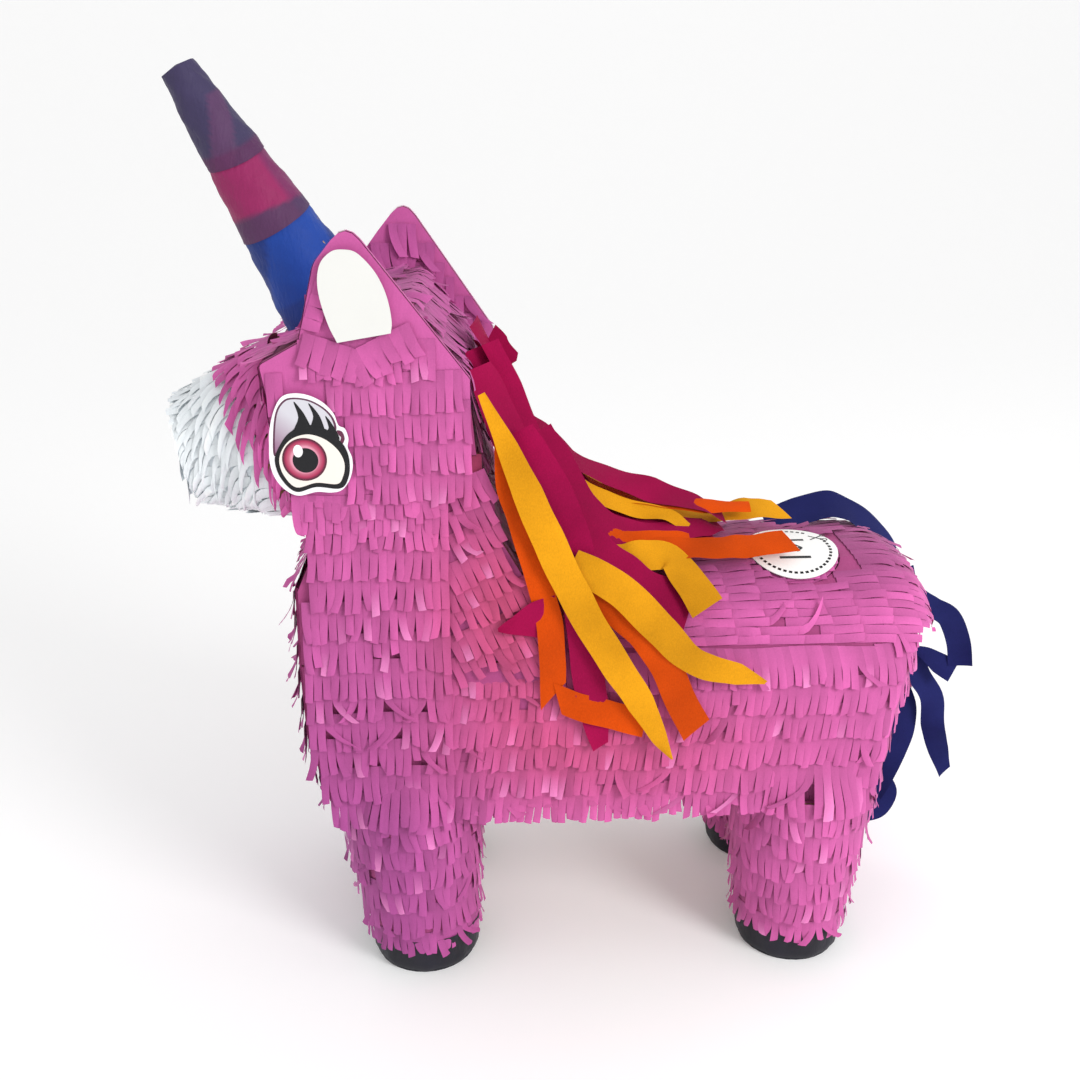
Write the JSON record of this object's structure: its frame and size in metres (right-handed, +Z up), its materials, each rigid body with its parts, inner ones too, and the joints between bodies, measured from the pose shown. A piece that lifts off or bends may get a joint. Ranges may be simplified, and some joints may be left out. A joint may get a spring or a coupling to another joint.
{
  "type": "pinata",
  "caption": "Standing unicorn piñata: a hollow card carcass covered in rows of pink tissue fringe, with a paper-wrapped horn, crepe streamer mane and tail, and a fill flap.",
  "frame": {"origin": "centre of the bounding box's base, on the floor that the four hooves stand on", "axes": "+Z up, the nose points along -X and the tail along +X, and the left flank, with the hanging streamers, faces -Y"},
  "size_m": [0.6342, 0.241, 0.6775],
  "materials": {
    "kraft_card": "matte corrugated card",
    "pink_tissue": "matte tissue paper, cut into fringe",
    "white_tissue": "matte tissue paper, cut into fringe",
    "white_paper": "matte paper",
    "black_paper": "matte tissue over card",
    "white_sticker": "coated paper label",
    "printed_sticker": "coated paper label, printed",
    "blue_tissue": "matte tissue paper",
    "magenta_tissue": "matte tissue paper",
    "violet_tissue": "matte tissue paper",
    "magenta_crepe": "crepe streamer",
    "orange_crepe": "crepe streamer",
    "yellow_crepe": "crepe streamer",
    "navy_crepe": "crepe streamer"
  },
  "bodies": {
    "carcass": {"back_panel": "kraft_card", "belly_panel": "kraft_card", "chest_panel": "kraft_card", "crest_panel": "kraft_card", "head_top_panel": "kraft_card", "rump_panel": "kraft_card", "muzzle_tube": "kraft_card", "horn_core": "kraft_card", "left_side_panel": "kraft_card", "right_side_panel": "kraft_card", "left_neck_panel": "kraft_card", "right_neck_panel": "kraft_card", "left_head_panel": "kraft_card", "right_head_panel": "kraft_card", "left_front_leg_tube": "kraft_card", "right_front_leg_tube": "kraft_card", "left_rear_leg_tube": "kraft_card", "right_rear_leg_tube": "kraft_card", "back_fringe": "pink_tissue", "chest_fringe": "pink_tissue", "rump_fringe": "pink_tissue", "left_side_fringe": "pink_tissue", "right_side_fringe": "pink_tissue", "left_neck_fringe": "pink_tissue", "right_neck_fringe": "pink_tissue", "left_head_fringe": "pink_tissue", "right_head_fringe": "pink_tissue", "left_front_leg_fringe": "pink_tissue", "right_front_leg_fringe": "pink_tissue", "left_rear_leg_fringe": "pink_tissue", "right_rear_leg_fringe": "pink_tissue", "muzzle_fringe": "white_tissue", "left_ear_patch": "white_paper", "right_ear_patch": "white_paper", "left_front_hoof_cup": "black_paper", "right_front_hoof_cup": "black_paper", "left_rear_hoof_cup": "black_paper", "right_rear_hoof_cup": "black_paper", "left_eye_sticker": "printed_sticker", "right_eye_sticker": "printed_sticker", "horn_blue_wrap": "blue_tissue", "horn_magenta_wrap": "magenta_tissue", "horn_violet_wrap": "violet_tissue", "mane_left_root": "magenta_crepe", "mane_crest": "magenta_crepe", "tail_top": "navy_crepe"},
    "fill_flap": {"fill_flap": "kraft_card", "fill_flap_tissue": "pink_tissue", "fill_sticker": "white_sticker"},
    "left_mane": {"mane_left_magenta": "magenta_crepe", "mane_left_orange": "orange_crepe", "mane_left_orange_rear": "orange_crepe", "mane_left_yellow": "yellow_crepe", "mane_left_yellow_rear": "yellow_crepe"},
    "back_mane": {"mane_back_magenta": "magenta_crepe", "mane_back_yellow": "yellow_crepe", "mane_back_orange": "orange_crepe"},
    "tail": {"tail_curl": "navy_crepe", "tail_long": "navy_crepe", "tail_low": "navy_crepe"}
  },
  "joints": [
    {"name": "fill_flap_fold", "type": "hinge", "parent": "carcass", "child": "fill_flap", "pos_m": [0.18092, -0.03245, 0.31655], "axis": [0, -0.9833, -0.1822], "range_deg": [0, 85]},
    {"name": "left_mane_lift", "type": "hinge", "parent": "carcass", "child": "left_mane", "pos_m": [-0.04858, -0.10883, 0.357], "axis": [-1, 0, 0], "range_deg": [0, 75]},
    {"name": "back_mane_lift", "type": "hinge", "parent": "carcass", "child": "back_mane", "pos_m": [-0.06108, 0, 0.413], "axis": [0, -1, 0], "range_deg": [0, 50]},
    {"name": "tail_lift", "type": "hinge", "parent": "carcass", "child": "tail", "pos_m": [0.25392, 0, 0.287], "axis": [0, -1, 0], "range_deg": [0, 75]}
  ]
}
